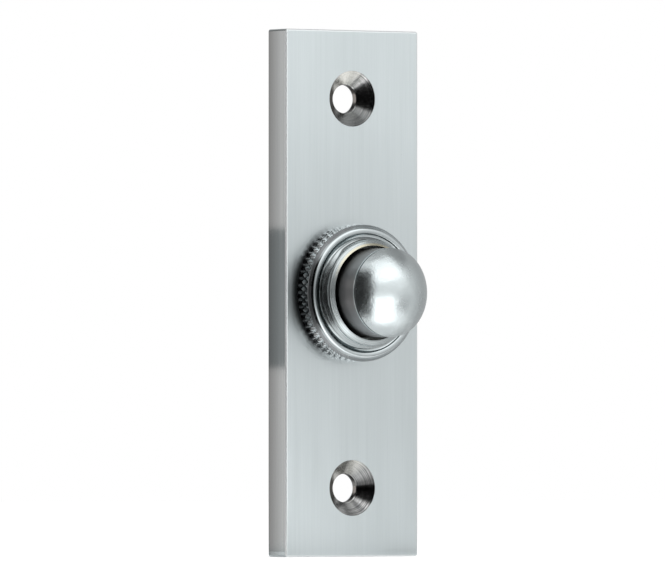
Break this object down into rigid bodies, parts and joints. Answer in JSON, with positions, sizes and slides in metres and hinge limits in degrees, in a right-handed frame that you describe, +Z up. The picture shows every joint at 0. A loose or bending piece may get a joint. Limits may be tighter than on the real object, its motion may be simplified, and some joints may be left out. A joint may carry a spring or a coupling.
{
  "type": "doorbell push button",
  "caption": "Upright rectangular bell push plate with countersunk screw holes, a knurled ring nut on a threaded barrel, and a sprung domed button that slides in to bridge its contacts.",
  "frame": {"origin": "middle of the plate's wall face", "axes": "+X right and +Z up as the visitor sees it, -Y out of the wall towards the visitor"},
  "size_m": [0.0254, 0.0236, 0.0826],
  "materials": {
    "plate_chrome": "satin chrome plate on brass, brushed lengthways",
    "barrel_chrome": "chrome plate on brass, bare at the bore's edge",
    "nut_chrome": "satin chrome plate on knurled brass",
    "button_chrome": "satin chrome plate on brass",
    "nylon": "natural nylon",
    "bronze": "bare phosphor bronze",
    "spring_steel": "bright drawn wire and strip",
    "phenolic": "moulded black phenolic",
    "brass": "bare turned brass"
  },
  "bodies": {
    "plate_assembly": {"plate": "plate_chrome", "threaded_barrel": "barrel_chrome", "knurled_ring_nut": "nut_chrome", "return_spring": "spring_steel", "switch_base": "phenolic", "upper_contact_stud": "brass", "lower_contact_stud": "brass", "terminal_washers": "brass", "terminal_screws": "brass", "retaining_ring": "spring_steel"},
    "button": {"push_button": "button_chrome", "plunger": "nylon", "contact_disc": "bronze", "disc_clip": "spring_steel"}
  },
  "joints": [
    {"name": "button_press", "type": "slide", "parent": "plate_assembly", "child": "button", "axis": [0, 1, 0], "range_m": [0, 0.002], "stiffness_N_per_m": 800, "springref_m": -0.003, "deforming": ["return_spring"]}
  ]
}
